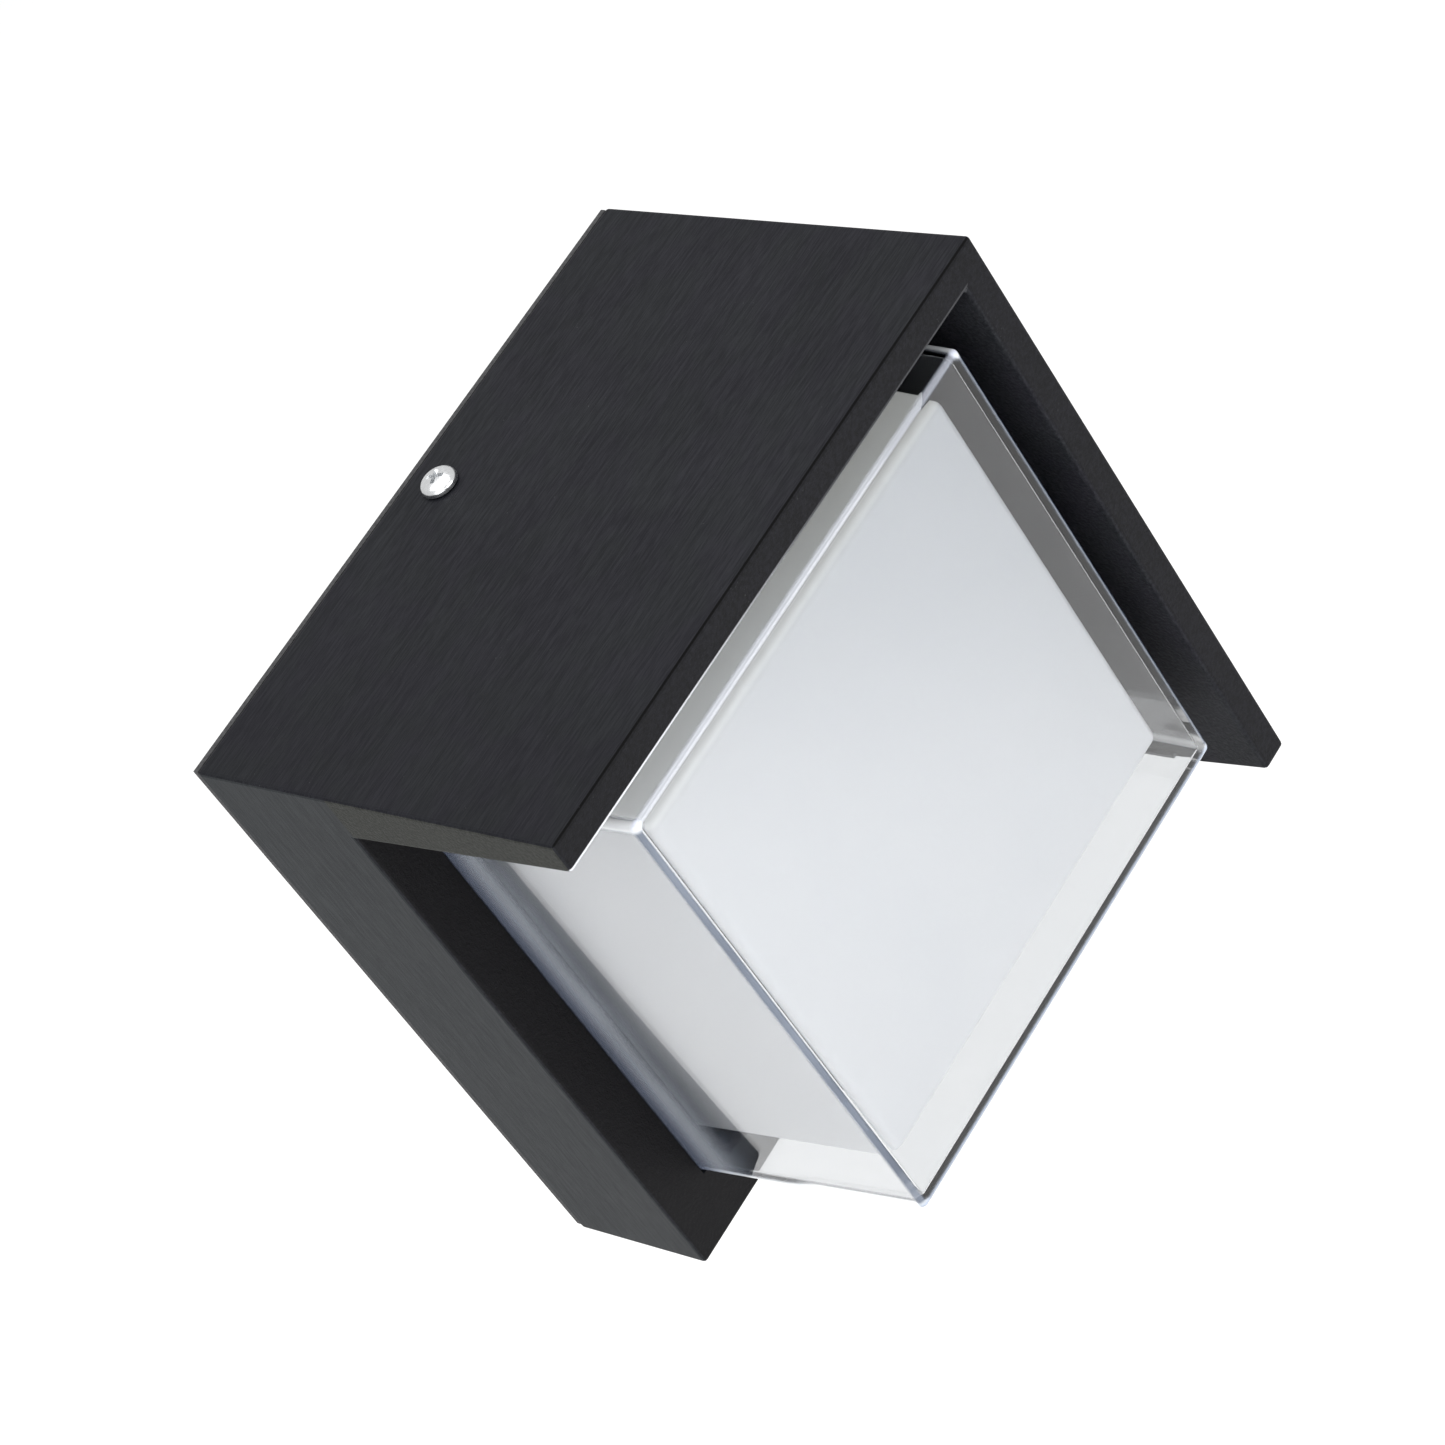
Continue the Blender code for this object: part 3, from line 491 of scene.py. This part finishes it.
def cup_surface(shape, low, high, taper, edge, front_y, inset=0.0):
    """One open, drafted box with round edges; returns its rim's edges, all at the high Y end."""
    before = set(shape.verts)
    bmesh.ops.create_cube(shape, size=2.0)
    corners = [v for v in shape.verts if v not in before]
    middle = (low + high) / 2
    half = (high - low) / 2
    for corner in corners:
        at_rim = corner.co.y > 0
        narrow_x = inset if at_rim else inset + taper[0]
        narrow_z = inset if at_rim else inset + taper[1]
        corner.co.x = middle.x + corner.co.x * (half.x - narrow_x)
        corner.co.z = middle.z + corner.co.z * (half.z - narrow_z) + (0.0 if at_rim else FRONT_RISE)
        corner.co.y = high.y if at_rim else front_y
    faces = {f for v in corners for f in v.link_faces}
    back = next(f for f in faces if all(abs(v.co.y - high.y) < 1e-7 for v in f.verts))
    shape.faces.remove(back)
    folds = [e for v in corners for e in v.link_edges if len(e.link_faces) == 2]
    bmesh.ops.bevel(
        shape, geom=list(dict.fromkeys(folds)), offset=edge, offset_type="OFFSET",
        segments=FOLD_SEGMENTS, profile=0.5, affect="EDGES", clamp_overlap=True,
    )
    return [
        e for e in shape.edges
        if len(e.link_faces) == 1 and all(v not in before for v in e.verts)
    ]


def make_cup(name, node, taper, wall, edge, material):
    """A moulded cup with real walls, open at the rim that stands in the housing's groove."""
    low, high = (Vector(corner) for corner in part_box(node))
    shape = bmesh.new()
    outer_rim = cup_surface(shape, low, high, taper, edge, low.y)
    outer_faces = set(shape.faces)
    inner_edge = max(edge - wall, LEAST_INNER_EDGE)
    inner_rim = cup_surface(shape, low, high, taper, inner_edge, low.y + wall, inset=wall)
    bmesh.ops.reverse_faces(shape, faces=[f for f in shape.faces if f not in outer_faces])
    bmesh.ops.bridge_loops(shape, edges=outer_rim + inner_rim)
    bmesh.ops.recalc_face_normals(shape, faces=shape.faces)
    return make_piece(name, shape, "lamp", material, node, node)


def make_cover_rib(material):
    """A short moulded rib on the inside of the cover's bottom wall, near its right side."""
    low, high = (Vector(corner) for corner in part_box("clear_cover"))
    narrowing = 1 - COVER_RIB_BACK / (high.y - low.y)
    wall_z = low.z + (COVER_TAPER[1] + FRONT_RISE) * narrowing + COVER_WALL
    half = Vector(COVER_RIB_SIZE) / 2
    place = Vector((high.x - COVER_RIB_INSET, low.y + COVER_RIB_BACK, wall_z + half.z + 0.05 * MM))
    shape = bmesh.new()
    bmesh.ops.create_cube(
        shape, size=2.0, matrix=Matrix.Translation(place) @ Matrix.Diagonal((*half, 1.0)),
    )
    bmesh.ops.bevel(
        shape, geom=shape.edges[:], offset=0.2 * MM, offset_type="OFFSET", segments=3,
        profile=0.5, affect="EDGES", clamp_overlap=True,
    )
    return make_piece("cover_rib", shape, "lamp", material, "clear_cover")


def carve(target, cutter):
    """Cuts one object out of another for good, and removes the cutter."""
    step = target.modifiers.new("cut", "BOOLEAN")
    step.operation = "DIFFERENCE"
    step.object = cutter
    evaluated = target.evaluated_get(bpy.context.evaluated_depsgraph_get())
    mesh = bpy.data.meshes.new_from_object(evaluated)
    target.modifiers.clear()
    old = target.data
    target.data = mesh
    bpy.data.meshes.remove(old)
    bpy.data.objects.remove(cutter, do_unlink=True)
    smooth(mesh)


def pan_head_profile(head, height, shank, length, dome_steps=14):
    """The outline of a pan-head screw from the top of its head to its tip, as (radius, height)."""
    points = []
    lip = 0.30 * height
    for step in range(dome_steps + 1):
        angle = math.radians(90) * step / dome_steps
        bulge = math.sin(angle) ** 0.72
        points.append((head * bulge, lip + (height - lip) * math.cos(angle) ** 1.1))
    points += [(head, 0.25 * lip), (head - 0.2 * MM, 0.0), (shank, 0.0)]
    for turn in range(int((length - shank) / THREAD_PITCH)):
        start = -(THREAD_START + turn * THREAD_PITCH)
        points.append((shank, start))
        points.append((shank - THREAD_DEPTH, start - THREAD_PITCH / 2))
    points += [(shank * 0.6, -length), (0.0, -length)]
    return points


def lathe(points, sides=64):
    shape = bmesh.new()
    ring = [shape.verts.new((radius, 0.0, height)) for radius, height in points]
    edges = [shape.edges.new(pair) for pair in zip(ring, ring[1:])]
    bmesh.ops.spin(
        shape, geom=ring + edges, cent=(0, 0, 0), axis=(0, 0, 1), angle=math.tau, steps=sides,
    )
    bmesh.ops.remove_doubles(shape, verts=shape.verts, dist=0.005 * MM)
    bmesh.ops.recalc_face_normals(shape, faces=shape.faces)
    return shape


def recess_cutter(name, place, reach, width, top, bottom, turn):
    """One tapered bar of a cross recess, across the screw's axis."""
    shape = bmesh.new()
    bmesh.ops.create_cube(shape, size=2.0)
    for corner in shape.verts:
        upper = corner.co.z > 0
        corner.co.x *= reach if upper else reach * 0.42
        corner.co.y *= width if upper else width * 0.55
        corner.co.z = top if upper else bottom
    shape.transform(place @ Matrix.Rotation(turn, 4, "Z"))
    mesh = bpy.data.meshes.new(name)
    shape.to_mesh(mesh)
    shape.free()
    cutter = bpy.data.objects.new(name, mesh)
    bpy.context.scene.collection.objects.link(cutter)
    return cutter


def make_fixing_screw(name, node, body, up, material):
    """A pan-head machine screw with a cross recess, standing where its CAD node stands."""
    low, high = (Vector(corner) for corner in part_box(node))
    middle = (low + high) / 2
    head = (high.x - low.x) / 2
    height = SCREW_HEAD_HEIGHT
    length = high.z - low.z - height
    seat_z = high.z - height if up > 0 else low.z + height
    place = Matrix.Translation((middle.x, middle.y, seat_z))
    if up < 0:
        place = place @ Matrix.Rotation(math.pi, 4, "X")
    shape = lathe(pan_head_profile(head, height, head / 2, length))
    shape.transform(place)
    screw = make_piece(name, shape, body, material, "bright_zinc", node)
    for turn in (RECESS_TURN, RECESS_TURN + math.pi / 2):
        cutter = recess_cutter(
            name + "_bar", place, reach=0.56 * head, width=0.13 * head,
            top=height + 0.4 * MM, bottom=RECESS_FLOOR, turn=turn,
        )
        carve(screw, cutter)
    return screw


# Dressing the nodes ---------------------------------------------------------------------------

def dress_nodes(zinc):
    steel = plated_steel()
    seal = moulded("seal_silicone", (0.42, 0.43, 0.43), (0.55, 0.56, 0.56), 0.55)
    coats = {
        "housing": charcoal_paint(),
        "cover_seal": seal, "diffuser_seal": seal, "rear_seal": seal,
        "earth_tag": tinned_metal(),
        "earth_screw": steel,
        "rear_cover": mill_aluminium(),
        "wall_bracket": galvanised_sheet(),
        "wall_gasket": closed_cell_foam(),
        "lead_grommet": moulded("grommet_rubber", (0.016, 0.016, 0.017), (0.035, 0.035, 0.036), 0.7),
        "led_board": solder_mask(),
        "led_driver": moulded(
            "driver_case", (0.030, 0.031, 0.034), (0.052, 0.053, 0.056), 0.5, grain=0.6, depth=0.05,
        ),
        "terminal_block": moulded("terminal_nylon", (0.74, 0.74, 0.69), (0.84, 0.84, 0.79), 0.45),
        "lead_earth": wire_cover("wire_green", (0.09, 0.36, 0.05)),
        "lead_line": wire_cover("wire_brown", (0.20, 0.08, 0.03)),
        "lead_neutral": wire_cover("wire_blue", (0.03, 0.11, 0.46)),
        "lead_led_positive": wire_cover("wire_red", (0.55, 0.03, 0.02)),
        "lead_led_negative": wire_cover("wire_black", (0.03, 0.03, 0.03)),
    }
    glow = phosphor()
    for name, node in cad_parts.items():
        coat = coats.get(name)
        if coat is None:
            coat = steel if "screw" in name else glow
        node.data.materials.clear()
        node.data.materials.append(coat)


# Studio ---------------------------------------------------------------------------------------

def aim_camera():
    azimuth, elevation, roll = CAMERA_AZIMUTH, CAMERA_ELEVATION, CAMERA_ROLL
    back = Vector((
        math.sin(azimuth) * math.cos(elevation),
        -math.cos(azimuth) * math.cos(elevation),
        math.sin(elevation),
    ))
    level = Vector((0, 0, 1)).cross(back).normalized()
    upright = back.cross(level)
    right = level * math.cos(roll) + upright * math.sin(roll)
    up = back.cross(right)
    turn = Matrix((right, up, back)).transposed().to_4x4()
    data = bpy.data.cameras.new("camera")
    data.lens = CAMERA_LENS
    data.sensor_width = SENSOR
    data.clip_end = 20.0
    camera = bpy.data.objects.new("camera", data)
    camera.matrix_world = Matrix.Translation(CAMERA_AIM + back * CAMERA_DISTANCE) @ turn
    bpy.context.scene.collection.objects.link(camera)
    bpy.context.scene.camera = camera


def soft_light(name, place, size, power, aim=(0, -0.05, 0)):
    data = bpy.data.lights.new(name, "AREA")
    data.shape = "SQUARE"
    data.size = size
    data.energy = power
    light = bpy.data.objects.new(name, data)
    place = Vector(place)
    turn = (Vector(aim) - place).to_track_quat("-Z", "Y").to_matrix().to_4x4()
    light.matrix_world = Matrix.Translation(place) @ turn
    bpy.context.scene.collection.objects.link(light)


def build_studio():
    world = bpy.data.worlds.new("studio")
    world.use_nodes = True
    sky = world.node_tree.nodes["Background"]
    sky.inputs["Color"].default_value = (1.0, 1.0, 1.0, 1.0)
    sky.inputs["Strength"].default_value = 0.75
    bpy.context.scene.world = world
    bpy.context.scene.view_settings.view_transform = "Standard"
    soft_light("key_left", (-1.3, -0.9, 0.5), size=1.2, power=19.0)
    soft_light("front_fill", (0.3, -1.8, 0.1), size=1.4, power=27.0)
    soft_light("floor_wash", (0.0, -0.2, 2.2), size=3.0, power=52.0, aim=(0, 0, -0.5))
    shape = bmesh.new()
    bmesh.ops.create_grid(shape, x_segments=1, y_segments=1, size=6.0)
    mesh = bpy.data.meshes.new("floor")
    shape.to_mesh(mesh)
    shape.free()
    floor = bpy.data.objects.new("floor", mesh)
    floor.location.z = -0.42
    matt_white = Finish("pale_floor", Roughness=0.9, Base_Color=(0.80, 0.80, 0.80))
    floor.data.materials.append(matt_white.material)
    bpy.context.scene.collection.objects.link(floor)


zinc_coat = bright_zinc()
dress_nodes(zinc_coat)
make_cup("cover_shell", "clear_cover", COVER_TAPER, COVER_WALL, COVER_EDGE, clear_plastic())
make_cup("diffuser_shell", "opal_diffuser", OPAL_TAPER, OPAL_WALL, OPAL_EDGE, opal_plastic())
make_cover_rib(moulded("rib_shadow", (0.035, 0.037, 0.040), (0.065, 0.067, 0.070), 0.4))
make_fixing_screw("upper_screw_piece", "upper_fixing_screw", "upper_screw", 1, zinc_coat)
make_fixing_screw("lower_screw_piece", "lower_fixing_screw", "lower_screw", -1, zinc_coat)
aim_camera()
build_studio()
